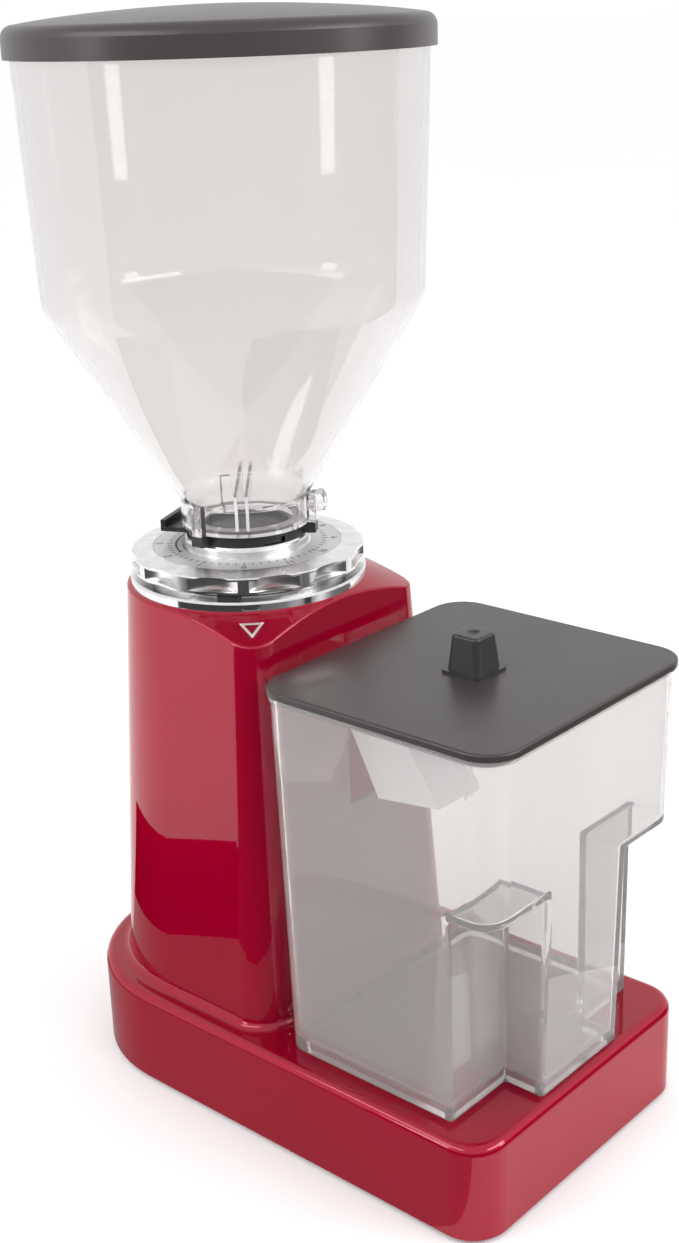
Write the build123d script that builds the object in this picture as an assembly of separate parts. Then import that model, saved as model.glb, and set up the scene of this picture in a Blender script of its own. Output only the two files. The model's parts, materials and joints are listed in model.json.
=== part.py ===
"""Burr coffee grinder: flat burrs on a vertical motor, conical bean hopper, sliding grounds container.

Millimetres, +Z up, front towards -Y. Every piece is drawn about the burr axis and moved at export,
so that the origin lies under the middle of the whole object, on the surface that it stands on.
"""
from build123d import *
from math import radians, tan
import os

os.makedirs("parts", exist_ok=True)

# Overall sizes
total_height = 496.0
base_width = 160.0
base_front = 195.0            # burr axis to the front face of the base
base_back = 77.0              # burr axis to the back of the base
base_height = 46.0
foot_height = 2.5
column_top = 242.0
hopper_lid_radius = 92.5
container_lid_front = 197.3   # burr axis to the front edge of the container's lid

# Clearances
face_gap = 0.2                # a piece that lifts off its seat
slide_gap = 0.3
running_gap = 0.05            # a shaft in a hole
thread_gap = 0.05
screw_gap = 0.25
seat_gap = 0.02               # a ring or stack on its seat

# Screws
m3_radius = 1.5
m3_head = 2.6
m3_recess = 2.8
m4_radius = 2.0

# Housing: base and column in one casting
base_wall = 3.5
base_front_corner = 18.0
base_back_corner = 70.0
base_edge_radius = 4.5
column_bottom_half = 69.6
column_top_half = 57.4
column_bottom_front = 66.0
column_top_front = 57.5
column_bottom_corner = 17.0
column_top_corner = 13.0
column_wall = 4.0
column_roof = 6.0
column_foot_radius = 5.0
column_edge_radius = 1.2
top_slope = 24.0              # fall of the top face outside the chrome ring
boss_radius = 5.0
cover_ledge = 1.2
cover_thickness = 1.6
foot_radius = 10.0
foot_inset = 24.0
foot_stem_radius = 3.0
vent_length = 44.0
vent_width = 3.5
vent_pitch = 8.0
vent_count = 7

# Burr chamber and discharge
chamber_radius = 46.0
chamber_bore = 38.0
chamber_bottom = 196.0
chamber_floor = 5.0
chamber_flange_radius = 52.5
chamber_flange = 3.0
outlet_half = 19.0
outlet_reach = 48.0
port_half = 11.2
port_top = 212.6
chute_half = 13.0
chute_wall = 1.6
chute_top = 214.2
chute_stub_bottom = 188.0
chute_flange = 2.0
chute_flange_bottom = 197.0
chute_screw_half = 16.0
chute_screw_height = 208.0
chute_nose_front = 124.0
chute_nose_back = 89.0
chute_nose_bottom = 155.5
chute_nose_rise = 4.5         # how much higher the front lip of the spout is
chute_bend_back = 72.5
chute_bend_front = 86.5

# Chrome ring, dial and scale
ring_radius = 55.5
ring_bore = 38.5
ring_height = 4.0
dial_radius = 54.5
dial_gap = 0.3
dial_hub_radius = 45.5
dial_skirt_gap = 3.4
dial_edge_top = 15.0          # above the column top
dial_top = 16.0
dial_bore = 33.2
dial_lip_bore = 27.3
dial_lip = 1.8
dial_lip_radius = 29.0        # raised lip round the collar
dial_lip_rise = 4.8
dial_rim = 1.4                # flange over the finger pockets
pocket_radius = 50.2          # deepest part of the pockets
pocket_lip = 1.2              # edge left under the pockets
dial_lobes = 12
lobe_radius = 60.0            # shallow flats between the lobes
lobe_centre = 113.4
scoop_radius = 24.0           # finger pockets in the edge
scoop_centre = 74.2
scoop_start = 27.0
scale_outer = 44.0
scale_inner = 30.5
scale_thickness = 1.3
seat_screw_circle = 42.0
stop_angle = 213.7
stop_radius = 48.5
stop_width = 10.0
stop_pin_radius = 2.0
mark_gap = 9.1                # chrome ring to the middle of the index mark
mark_angle = 45.0
thread_pitch = 1.5

# Burrs, carriers and rotor
burr_radius = 30.0
burr_bore = 18.0
burr_flat = 24.0
burr_thickness = 8.0
burr_grooves = 16
burr_screw_circle = 26.0
carrier_radius = 31.0
carrier_bottom = 203.5
carrier_thickness = 5.5
vane_reach = 36.5
burr_space = 0.9              # between the burrs, dial at mid range
upper_carrier_height = 14.6
throat_radius = 24.0
tube_radius = 33.0
tube_top_gap = 1.2
key_reach = 35.5
key_width = 6.0
shaft_radius = 6.0
shaft_nose_radius = 5.0
shaft_bottom = 58.0

# Motor
motor_radius = 46.0
motor_cavity = 43.0
motor_bottom = 74.0
stator_radius = 45.0
stator_bore = 25.0
stator_bottom = 105.5
stator_top = 164.5
winding_inner = 27.0
winding_outer = 37.5
winding_height = 11.4
rotor_radius = 24.4
bearing_radius = 16.0
bearing_width = 10.0
bearing_set = 5.8             # bearing to the outer face of its end bell
bolt_circle = 40.5
bolt_radius = 2.0
fan_radius = 36.0
fan_blades = 8

# Hopper, gate and lid
collar_radius = 27.9
collar_height = 10.0
collar_bore = 20.0
neck_radius = 30.0
neck_height = 13.0
neck_throat = 22.0
hopper_wall = 2.5
cone_top_radius = 85.6
cone_top = 371.8
hopper_rim_radius = 89.9
hopper_lug_reach = 33.5
hopper_lug_angles = (182.0, 302.0, 62.0)
lid_skirt = 8.0
lid_rim = 5.0
lid_wall = 2.1
lid_dome = 6.5
gate_angle = 112.0
gate_half = 21.5
gate_thickness = 2.2
gate_reach = 38.5
gate_tab_half = 12.0
gate_hook = 2.4
gate_end = 24.0
lock_angle = -25.0
lock_radius = 5.3
lock_rise = 4.3               # neck bottom to the lock screw
guard_angle = 42.0
guard_offsets = (-2.1, 2.7)
guard_height = 18.0

# Grounds container
container_wall = 2.4
container_clearance = 6.3     # chute top to the container's rim
container_top_half = 70.2
container_bottom_half = 67.3
container_front_top = 195.0
container_front_bottom = 190.0
container_back_top = 70.5
container_back_bottom = 75.5
container_top_corner = 14.0
container_bottom_corner = 10.0
foot_rim = 6.5
foot_rim_height = 3.0
notch_top = 145.0
notch_inner = 29.0
notch_back = 170.5
notch_radius = 1.8
slot_half = 16.0
slot_bottom = 149.0
rim_lip = 0.9
lid_overhang = 0.4
container_lid_thickness = 3.2
container_lid_corner = 16.0
plug_depth = 3.0
plug_wall = 2.0
knob_foot = 20.0
knob_top = 14.4
knob_height = 17.0

# Electrics
switch_y = -110.0
switch_length = 28.0
switch_height = 20.0
rocker_radius = 10.5
rocker_half = 6.5
gland_radius = 8.0
gland_bore = 3.5
capacitor_radius = 17.0
capacitor_length = 68.0
capacitor_y = -150.0
terminal_y = -100.0

# Worked out from the sizes above
base_bottom = foot_height
base_top = base_bottom + base_height
roof_bottom = column_top - column_roof
casting_split = base_top + column_foot_radius + 1.5
ring_top = column_top + ring_height
dial_bottom = ring_top + dial_gap
dial_skirt = ring_top + dial_skirt_gap
dial_face = column_top + dial_top
dial_edge = column_top + dial_edge_top
lip_top = dial_face + dial_lip_rise
container_top = chute_top + container_clearance
chamber_inside = chamber_bottom + chamber_floor
burr_bottom = carrier_bottom + carrier_thickness
upper_burr_bottom = burr_bottom + burr_thickness + burr_space
upper_carrier_bottom = upper_burr_bottom + burr_thickness
upper_carrier_top = upper_carrier_bottom + upper_carrier_height
tube_top = dial_face - dial_lip - tube_top_gap
collar_top = dial_face + collar_height
neck_bottom = collar_top + face_gap
neck_top = neck_bottom + neck_height
lock_height = neck_bottom + lock_rise
lid_top = total_height
lid_bottom = lid_top - lid_dome - lid_rim - lid_skirt
hopper_top = lid_bottom + lid_skirt - face_gap
cover_top = base_bottom + cover_ledge + cover_thickness - face_gap
cover_bottom = cover_top - cover_thickness
container_bottom = base_top + face_gap
container_lid_bottom = container_top + face_gap
container_lid_top = container_lid_bottom + container_lid_thickness
container_lid_half = container_top_half + rim_lip + lid_overhang
container_lid_back = container_back_top - rim_lip - lid_overhang - 0.9
stator_height = stator_top - stator_bottom
axis_shift = (container_lid_front - hopper_lid_radius) / 2
screw_places = (
    (-base_width / 2 + 14, -base_front + 52),
    (base_width / 2 - 14, -base_front + 52),
    (-base_width / 2 + 14, -70.0),
    (base_width / 2 - 14, -70.0),
    (-34.0, base_back - 15),
    (34.0, base_back - 15),
)
foot_places = (
    (-base_width / 2 + foot_inset, -base_front + foot_inset),
    (base_width / 2 - foot_inset, -base_front + foot_inset),
    (-base_width / 2 + 28, base_back - 58),
    (base_width / 2 - 28, base_back - 58),
)


def column_at(height):
    """Half width, front distance and corner radius of the column at a height."""
    share = (column_top - height) / (column_top - base_top)
    half = column_top_half + (column_bottom_half - column_top_half) * share
    front = column_top_front + (column_bottom_front - column_top_front) * share
    corner = column_top_corner + (column_bottom_corner - column_top_corner) * share
    return half, front, corner


def disc(radius, bottom, top):
    """Upright cylinder on the burr axis."""
    return Pos(0, 0, bottom) * Cylinder(radius, top - bottom, align=(Align.CENTER, Align.CENTER, Align.MIN))


def tube(outer, inner, bottom, top):
    """Upright tube on the burr axis."""
    return disc(outer, bottom, top) - disc(inner, bottom - 1, top + 1)


def block(left, right, front, back, bottom, top):
    """Box between six planes."""
    size = (right - left, back - front, top - bottom)
    middle = ((left + right) / 2, (front + back) / 2, (bottom + top) / 2)
    return Pos(*middle) * Box(*size)


def turned(points):
    """Solid of revolution about the burr axis, from (radius, height) points."""
    outline = Plane.XZ * make_face(Polyline(*points, close=True))
    return revolve(outline, axis=Axis.Z)


def around(radius, angle, part):
    """A piece drawn at the origin, moved out to a radius and turned to an angle."""
    return Rot(0, 0, angle) * Pos(radius, 0, 0) * part


def ring_of(radius, count, start, part):
    """The same piece, count times round a circle."""
    return [around(radius, start + 360 / count * i, part) for i in range(count)]


def rounded_plan(half, front, back, front_corner, back_corner):
    """Rectangle on X = 0 with round front and back corners."""
    plan = Pos(0, (front + back) / 2) * Rectangle(2 * half, back - front)
    plan = fillet(plan.vertices().group_by(Axis.Y)[0], front_corner)
    return fillet(plan.vertices().group_by(Axis.Y)[-1], back_corner)


def column_plan(half, front, corner):
    """D outline: round back, flat sides and front, round front corners."""
    back = CenterArc((0, 0), half, 0, 180)
    left = Line((-half, 0), (-half, -front))
    face = Line((-half, -front), (half, -front))
    right = Line((half, -front), (half, 0))
    plan = make_face([back, left, face, right])
    return fillet(plan.vertices().group_by(Axis.Y)[0], corner)


def column_solid(bottom, top, inset):
    """Tapered column between two heights, its walls moved in by inset."""
    plans = []
    for height in (bottom, top):
        half, front, corner = column_at(height)
        plan = column_plan(half - inset, front - inset, max(corner - inset, 2))
        plans.append(Pos(0, 0, height) * plan)
    return loft(plans, ruled=True)


def base_plan(inset):
    """Outline of the base, moved in by inset."""
    corner = base_front_corner - inset
    back_corner = base_back_corner - inset
    return rounded_plan(base_width / 2 - inset, -base_front + inset, base_back - inset, corner, back_corner)


def slab(plan, bottom, top):
    """A plan raised from one height to another."""
    return extrude(Pos(0, 0, bottom) * plan, amount=top - bottom)


def container_plan(half, front, back, corner):
    """Outline of the container at one height."""
    return rounded_plan(half, -front, -back, corner, corner)


def container_block(bottom, top, inset):
    """Drafted block of the container between two heights, its walls moved in by inset."""
    plans = []
    for height in (bottom, top):
        share = (height - container_bottom) / (container_top - container_bottom)
        half = container_bottom_half + (container_top_half - container_bottom_half) * share
        front = container_front_bottom + (container_front_top - container_front_bottom) * share
        back = container_back_bottom + (container_back_top - container_back_bottom) * share
        corner = container_bottom_corner + (container_top_corner - container_bottom_corner) * share
        plan = container_plan(half - inset, front - inset, back + inset, corner - inset)
        plans.append(Pos(0, 0, height) * plan)
    return loft(plans, ruled=True)


def space_above(flat):
    """Space over the top face: flat under the chrome ring, then falling away to the sides."""
    start = ring_radius + 0.1
    reach = 2 * column_bottom_half
    fall = (reach - start) * tan(radians(top_slope))
    return turned([(0, flat), (start, flat), (reach, flat - fall), (reach, flat + 20), (0, flat + 20)])


def outer_housing():
    """Outside shape of the casting, with its rounded edges."""
    base = slab(base_plan(0), base_bottom, base_top)
    base = fillet(base.edges().group_by(Axis.Z)[-1], base_edge_radius)
    body = base + column_solid(base_top - 6, column_top + 4, 0)
    body -= space_above(column_top)
    foot = [
        edge for edge in body.edges()
        if abs(edge.center().Z - base_top) < 0.01 and edge.bounding_box().size.Z < 0.01
        and edge.bounding_box().max.X < column_bottom_half + 1
        and edge.bounding_box().min.X > -column_bottom_half - 1
        and edge.bounding_box().min.Y > -column_bottom_front - 1
        and edge.bounding_box().max.Y < column_bottom_half + 1
    ]
    body = fillet(foot, column_foot_radius)
    rim = [
        edge for edge in body.edges()
        if edge.bounding_box().min.Z > column_top - 20
        and edge.bounding_box().max.Z < column_top - 0.2
    ]
    return fillet(rim, column_edge_radius)


def housing():
    """Painted casting: base with the motor column on it."""
    body = outer_housing()
    body -= slab(base_plan(base_wall), base_bottom - 1, base_top - base_wall)
    body -= slab(base_plan(base_wall - cover_ledge), base_bottom - 1, cover_top)
    body -= column_solid(base_top - 8, roof_bottom, column_wall) - space_above(roof_bottom)
    for x, y in screw_places:
        boss = Pos(x, y, 0) * disc(boss_radius, cover_top, base_top - base_wall + 0.5)
        body += boss
        body -= Pos(x, y, 0) * disc(m4_radius + thread_gap, cover_top - 1, cover_top + 14)
    body -= disc(chamber_radius + slide_gap, roof_bottom - 1, column_top + 1)
    body -= disc(chamber_flange_radius + face_gap, column_top - chamber_flange, column_top + 1)
    thread = disc(m3_radius + thread_gap, roof_bottom - 1, column_top)
    for hole in ring_of(chamber_screw_circle(), 4, 45, thread):
        body -= hole
    window = chute_half + slide_gap
    body -= block(-window, window, -90, -45, chute_stub_bottom - slide_gap, chute_top + slide_gap)
    long, high = switch_length / 2 - 1.5, switch_height / 2 - 1.5
    switch = block(0, 99, -long, long, -high, high)
    body -= Pos(0, switch_y, switch_z()) * switch
    body -= Pos(0, base_back, switch_z()) * Rot(90, 0, 0) * Cylinder(gland_radius + 0.1, 30)
    return body


def chamber_screw_circle():
    """Radius of the screws that hold the chamber's flange."""
    return (chamber_radius + chamber_flange_radius) / 2 + 0.3


def switch_z():
    """Height of the switch and of the cable gland."""
    return (base_bottom + base_top) / 2


def bottom_cover():
    """Steel plate under the base, with screw holes and vents."""
    plate = slab(base_plan(base_wall - cover_ledge + slide_gap), cover_bottom, cover_top)
    for x, y in screw_places:
        plate -= Pos(x, y, 0) * disc(m4_radius + screw_gap, 0, cover_top + 1)
    for x, y in foot_places:
        plate -= Pos(x, y, 0) * disc(foot_stem_radius + thread_gap, 0, cover_top + 1)
    for i in range(vent_count):
        y = (i - (vent_count - 1) / 2) * vent_pitch
        vent = Pos(0, y) * SlotOverall(vent_length, vent_width)
        plate -= slab(vent, 0, cover_top + 1)
    return plate


def cover_screws():
    """Pan-head screws of the bottom cover."""
    head = disc(3.6, cover_bottom - 1.7, cover_bottom)
    shank = disc(2, cover_bottom - 0.1, cover_top + 11)
    cross = block(-2, 2, -0.4, 0.4, 0, cover_bottom - 0.9)
    screw = head + shank - cross - Rot(0, 0, 90) * cross
    return [Pos(x, y, 0) * screw for x, y in screw_places]


def rubber_feet():
    """Four rubber feet, each with a stem through the cover."""
    foot = disc(foot_radius, 0, cover_bottom)
    foot = fillet(foot.edges().group_by(Axis.Z)[0], 0.8)
    foot += disc(foot_stem_radius, cover_bottom - 0.1, cover_top + 3)
    return [Pos(x, y, 0) * foot for x, y in foot_places]


def burr_chamber():
    """Aluminium grinding chamber that hangs in the top of the column."""
    body = disc(chamber_radius, chamber_bottom, column_top)
    body += disc(chamber_flange_radius, column_top - chamber_flange, column_top)
    body += block(-outlet_half, outlet_half, -outlet_reach, -30, chamber_bottom, chute_top + 3.8)
    body -= disc(chamber_bore, chamber_inside, column_top + 1)
    body -= disc(9.1, chamber_bottom - 1, chamber_inside + 1)
    body -= block(-port_half, port_half, -outlet_reach - 1, -30, chamber_inside, port_top)
    for hole in ring_of(chamber_screw_circle(), 4, 45, chamber_screw_hole()):
        body -= hole
    for hole in ring_of(bolt_circle, 4, 45, disc(bolt_radius + thread_gap, chamber_bottom - 1, 209)):
        body -= hole
    thread = disc(m3_radius + thread_gap, column_top - 8, column_top + 1)
    for hole in ring_of(seat_screw_circle, 3, 30, thread):
        body -= hole
    for x in (-chute_screw_half, chute_screw_half):
        hole = Rot(90, 0, 0) * Cylinder(m3_radius + thread_gap, 16)
        body -= Pos(x, -outlet_reach, chute_screw_height) * hole
    return body


def chamber_screw_hole():
    """Clearance hole and head recess in the chamber's flange."""
    hole = disc(m3_radius + screw_gap, roof_bottom, column_top + 1)
    return hole + disc(m3_recess, column_top - 1.8, column_top + 1)


def small_screw(head_top, length):
    """M3 screw with a flat head, hanging down from head_top."""
    head = disc(m3_head, head_top - 1.6, head_top)
    shank = disc(1.5, head_top - length, head_top - 1.5)
    slot = block(-2.2, 2.2, -0.35, 0.35, head_top - 0.6, head_top + 1)
    return head + shank - slot


def chute():
    """Discharge duct: a stub through the column wall and a spout that slopes into the container."""
    start = outlet_reach + 0.1
    outer = [
        (-start, chute_stub_bottom),
        (-start, chute_top),
        (-chute_bend_front, chute_top),
        (-chute_nose_front, chute_nose_bottom + chute_nose_rise),
        (-chute_nose_back, chute_nose_bottom),
        (-chute_bend_back, chute_stub_bottom),
    ]
    w = chute_wall
    inner = [
        (-start + 1, chute_stub_bottom + w),
        (-start + 1, chute_top - w),
        (-chute_bend_front + w * 0.5, chute_top - w),
        (-chute_nose_front + w * 2.2, chute_nose_bottom - 1),
        (-chute_nose_back - w * 0.6, chute_nose_bottom - 1),
        (-chute_bend_back - w * 0.7, chute_stub_bottom + w),
    ]
    body = chute_slice(outer, chute_half)
    flange_face = -start - chute_flange
    body += block(-outlet_half, outlet_half, flange_face, -start, chute_flange_bottom, chute_top + 3)
    body -= chute_slice(inner, chute_half - w)
    for x in (-chute_screw_half, chute_screw_half):
        body -= Pos(x, -start, chute_screw_height) * Rot(90, 0, 0) * Cylinder(m3_radius + screw_gap, 12)
    return body


def chute_slice(points, half):
    """A side outline of the chute, raised to both sides of X = 0."""
    outline = Plane.YZ * make_face(Polyline(*points, close=True))
    return extrude(outline, amount=half, both=True)


def chute_screws():
    """Two screws that hold the chute's flange to the chamber."""
    face = -outlet_reach - 0.1 - chute_flange
    screw = Rot(90, 0, 0) * (disc(m3_head, -face, 1.5 - face) + disc(m3_radius, -face - 9, 0.2 - face))
    return [Pos(x, 0, chute_screw_height) * screw for x in (-chute_screw_half, chute_screw_half)]


def seat_ring():
    """Chrome ring under the dial."""
    body = tube(ring_radius, ring_bore, column_top, ring_top)
    body = chamfer(body.edges().group_by(Axis.Z)[-1].sort_by(SortBy.RADIUS)[-1], 0.9)
    for hole in ring_of(seat_screw_circle, 3, 30, disc(m3_radius + screw_gap, column_top - 1, ring_top + 1)):
        body -= hole
    for hole in ring_of(seat_screw_circle, 3, 30, disc(m3_recess, ring_top - 1.8, ring_top + 1)):
        body -= hole
    return body


def dial():
    """Adjusting dial: lobed edge with finger pockets, raised lip round the collar."""
    body = turned([
        (dial_bore, dial_bottom),
        (dial_hub_radius, dial_bottom),
        (dial_hub_radius, dial_skirt),
        (dial_radius, dial_skirt),
        (dial_radius, dial_edge - 0.6),
        (dial_radius - 0.6, dial_edge),
        (scale_outer + 0.2, dial_face),
        (scale_outer + 0.2, dial_face - scale_thickness - 0.1),
        (scale_inner - 0.2, dial_face - scale_thickness - 0.1),
        (scale_inner - 0.2, dial_face),
        (dial_lip_radius, dial_face),
        (dial_lip_radius, lip_top - 1.8),
        (dial_lip_radius - 0.3, lip_top - 0.8),
        (dial_lip_radius - 0.9, lip_top),
        (dial_lip_bore, lip_top),
        (dial_lip_bore, dial_face - dial_lip),
        (dial_bore, dial_face - dial_lip),
    ])
    flat = disc(lobe_radius, dial_skirt - 1, dial_face + 1)
    for cut in ring_of(lobe_centre, dial_lobes, scoop_start, flat):
        body -= cut
    hollow = pocket_ring()
    for cut in ring_of(scoop_centre, dial_lobes, scoop_start, disc(scoop_radius, dial_skirt, dial_edge)):
        body -= cut & hollow
    half = key_width / 2 + 0.2
    slot = block(dial_bore - 1, key_reach + slide_gap, -half, half, dial_bottom - 1, dial_face - dial_lip)
    for cut in ring_of(0, 2, 90, slot):
        body -= cut
    body -= around(stop_radius, stop_angle + 180, disc(stop_pin_radius, dial_skirt - 1, dial_skirt + 3))
    return body


def pocket_ring():
    """Groove round the dial's edge, deep under the flange and sloping out to the lower lip."""
    top = dial_edge - dial_rim
    lip = dial_skirt + pocket_lip
    beyond = dial_radius + 6
    return turned([
        (pocket_radius, lip + 1.8),
        (pocket_radius, top - 0.8),
        (pocket_radius + 0.8, top),
        (beyond, top),
        (beyond, lip - 0.8),
        (dial_radius - 1.2, lip),
        (pocket_radius + 1.0, lip + 0.7),
    ])


def stop_pin():
    """Pin under the dial that meets the stop block at both ends of the dial's turn."""
    pin = disc(stop_pin_radius - seat_gap, ring_top + 0.4, dial_skirt + 2.9)
    return around(stop_radius, stop_angle + 180, pin)


def stop_block():
    """Black block on the chrome ring that limits the dial."""
    half = stop_width / 2
    body = block(-2.6, 2.6, -half, half, ring_top, dial_skirt - 0.4)
    body = fillet(body.edges().filter_by(Axis.Z), 0.8)
    return around(stop_radius, stop_angle, body)


def scale_ring():
    """Graduated ring let into the dial's face."""
    return tube(scale_outer, scale_inner, dial_face - scale_thickness, dial_face)


def pointer_mark():
    """Triangular index mark on the front corner of the top face."""
    outline = make_face(Polyline((5.2, 0), (-4.4, 5.6), (-4.4, -5.6), close=True))
    outline = fillet(outline.vertices(), 0.6)
    mark = extrude(outline, amount=0.5)
    radius = ring_radius + mark_gap
    height = column_top - mark_gap * tan(radians(top_slope)) + 0.07
    return Rot(0, 0, mark_angle) * Pos(-radius, 0, height) * Rot(0, -top_slope, 0) * mark


def upper_carrier():
    """Threaded carrier of the upper burr, with the feed throat in it."""
    outer = chamber_bore - running_gap
    body = turned([
        (burr_bore + 1, upper_carrier_bottom),
        (outer, upper_carrier_bottom),
        (outer, upper_carrier_top),
        (tube_radius, upper_carrier_top),
        (tube_radius, tube_top),
        (throat_radius, tube_top),
        (throat_radius, upper_carrier_bottom + 6),
        (burr_bore + 1, upper_carrier_bottom + 1.5),
    ])
    key = block(tube_radius - 2, key_reach, -key_width / 2, key_width / 2, ring_top + 1.6, tube_top - 0.6)
    for piece in ring_of(0, 2, 90, key):
        body += piece
    thread = disc(m4_radius + thread_gap, upper_carrier_bottom - 1, upper_carrier_bottom + 8)
    for hole in ring_of(burr_screw_circle, 3, 0, thread):
        body -= hole
    return body


def burr(face_up):
    """Flat steel burr: outer grinding flat, inner breaking cone, radial grooves and screw holes."""
    body = turned([
        (burr_bore, 0),
        (burr_radius, 0),
        (burr_radius, burr_thickness),
        (burr_flat, burr_thickness),
        (burr_bore, burr_thickness - 4),
    ])
    groove = Pos(burr_flat - 1, 0, burr_thickness) * Rot(0, 0, 28) * Box(16, 1.3, 1.6)
    for cut in ring_of(0, burr_grooves, 0, groove):
        body -= cut
    for hole in ring_of(burr_screw_circle, 3, 0, disc(m4_radius + screw_gap, -1, burr_thickness + 1)):
        body -= hole
    for hole in ring_of(burr_screw_circle, 3, 0, disc(3.6, burr_thickness - 4.4, burr_thickness + 1)):
        body -= hole
    if face_up:
        return Pos(0, 0, burr_bottom) * body
    return Pos(0, 0, upper_carrier_bottom) * Rot(180, 0, 0) * body


def burr_screws(face_up):
    """Three screws that hold a burr to its carrier."""
    head = disc(3.4, burr_thickness - 4.4, burr_thickness - 1.9)
    shank = disc(2, -5 if face_up else -7, burr_thickness - 4.3)
    slot = block(-2.6, 2.6, -0.4, 0.4, burr_thickness - 2.8, burr_thickness)
    screws = ring_of(burr_screw_circle, 3, 0, head + shank - slot)
    if face_up:
        return [Pos(0, 0, burr_bottom) * screw for screw in screws]
    return [Pos(0, 0, upper_carrier_bottom) * Rot(180, 0, 0) * screw for screw in screws]


def lower_carrier():
    """Carrier of the lower burr, with three sweeper vanes."""
    body = disc(carrier_radius, carrier_bottom, burr_bottom)
    vane = block(carrier_radius - 6, vane_reach, -3, 3, carrier_bottom, burr_bottom - 1.5)
    for piece in ring_of(0, 3, 60, vane):
        body += piece
    body -= disc(shaft_nose_radius + seat_gap, carrier_bottom - 1, burr_bottom + 1)
    thread = disc(m4_radius + thread_gap, carrier_bottom - 1, burr_bottom + 1)
    for hole in ring_of(burr_screw_circle, 3, 0, thread):
        body -= hole
    return body


def burr_nut():
    """Nut that clamps the lower carrier on the shaft."""
    body = slab(RegularPolygon(7.5, 6), burr_bottom, burr_bottom + 5)
    return body - disc(shaft_nose_radius + thread_gap, burr_bottom - 1, burr_bottom + 6)


def shaft():
    """Motor shaft, stepped where it carries the lower burr."""
    body = disc(shaft_radius, shaft_bottom, carrier_bottom)
    body += disc(shaft_nose_radius, carrier_bottom - 0.1, burr_bottom + 6.5)
    return chamfer(body.edges().group_by(Axis.Z)[-1], 0.8)


def shaft_seal():
    """Rubber lip seal in the chamber floor."""
    return tube(9.05, shaft_radius + running_gap, chamber_bottom + 0.3, chamber_inside - 0.3)


def end_bell(top_side):
    """Motor end bell with its bearing pocket, bolt holes and air openings."""
    depth = chamber_bottom - stator_top if top_side else stator_bottom - motor_bottom
    body = disc(motor_radius, 0, depth)
    body -= disc(motor_cavity, -1, depth - 15.5)
    body -= disc(bearing_radius + seat_gap, -1, depth - bearing_set + 0.1)
    body -= disc(shaft_radius + 1.5, -1, depth + 1)
    for hole in ring_of(bolt_circle, 4, 45, disc(bolt_radius + 0.1, -1, depth + 1)):
        body -= hole
    for i in range(4):
        body -= Rot(0, 0, 90 * i) * block(-12, 12, motor_cavity - 6, motor_radius + 2, 4, depth - 18)
    if top_side:
        return Pos(0, 0, stator_top) * body
    return Pos(0, 0, stator_bottom) * Rot(180, 0, 0) * body


def bearing(bottom):
    """Ball bearing: two rings and a shield, in one solid."""
    body = tube(bearing_radius, shaft_radius + running_gap, bottom, bottom + bearing_width)
    groove = tube(bearing_radius - 3, shaft_radius + 3, bottom - 1, bottom + 0.8)
    body -= groove
    body -= Pos(0, 0, bearing_width + 0.2) * groove
    return body


def stator_core():
    """Laminated stator with four bolt holes."""
    body = tube(stator_radius, stator_bore, stator_bottom, stator_top)
    for hole in ring_of(bolt_circle, 4, 45, disc(bolt_radius + 0.1, stator_bottom - 1, stator_top + 1)):
        body -= hole
    return body


def windings():
    """Copper end turns above and below the stator."""
    turns = []
    for bottom in (stator_top + 0.1, stator_bottom - 0.1 - winding_height):
        ring = tube(winding_outer, winding_inner, bottom, bottom + winding_height)
        turns.append(fillet(ring.edges(), 3.5))
    return turns


def rotor_core():
    """Rotor stack on the shaft."""
    body = disc(rotor_radius, stator_bottom + 1.5, stator_top - 1.5)
    body += tube(rotor_radius - 2, rotor_radius - 7, stator_bottom - 3, stator_top + 3)
    return body - disc(shaft_radius + seat_gap, stator_bottom - 9, stator_top + 9)


def cooling_fan():
    """Fan on the lower end of the shaft."""
    bottom = shaft_bottom + 2
    body = disc(11, bottom, bottom + 10)
    reach = fan_radius - 10
    blade = Pos(10, 0, bottom + 5) * Rot(35, 0, 0) * Pos(reach / 2, 0, 0) * Box(reach, 1.6, 11)
    for piece in ring_of(0, fan_blades, 0, blade):
        body += piece
    body &= disc(fan_radius, bottom, bottom + 10)
    return body - disc(shaft_radius + seat_gap, bottom - 1, bottom + 12)


def motor_bolts():
    """Four long bolts that clamp the motor under the chamber."""
    head = slab(RegularPolygon(3.9, 6), motor_bottom - 3, motor_bottom)
    bolt = head + disc(bolt_radius, motor_bottom - 0.1, chamber_bottom + 10)
    return ring_of(bolt_circle, 4, 45, bolt)


def collar():
    """Black collar in the dial that carries the hopper and guides the gate."""
    gap = slide_gap
    low, high = gate_heights()
    body = disc(collar_radius, lip_top, collar_top)
    body += disc(dial_lip_bore - 0.15, dial_face - dial_lip + 0.1, lip_top + 0.5)
    lug = block(collar_radius - 3, hopper_lug_reach, -3.4, 3.4, low - gap, collar_top)
    for angle in hopper_lug_angles:
        body += Rot(0, 0, angle) * lug
    body -= disc(collar_bore, 0, collar_top + 1)
    half = gate_half + gap
    slot = block(-gate_half - 3, collar_radius + 9, -half, half, low - gap, high + gap)
    return body - Rot(0, 0, gate_angle) * slot & disc(hopper_lug_reach + 2, 0, collar_top)


def gate_heights():
    """Underside and top of the gate plate."""
    low = lip_top + 0.8
    return low, low + gate_thickness


def slide_gate():
    """Gate plate that shuts the throat, with a turned-up pull tab."""
    low, high = gate_heights()
    plate = block(-gate_end + 1, collar_radius + 2, -gate_half, gate_half, low, high)
    plate &= disc(collar_radius - 0.6, low, high)
    half = gate_tab_half
    tab = block(gate_half - 2, gate_reach, -half, half, low, high)
    hook = block(gate_reach - gate_hook, gate_reach, -half, half, low, high + 3.2)
    return Rot(0, 0, gate_angle) * (plate + tab + hook)


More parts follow.
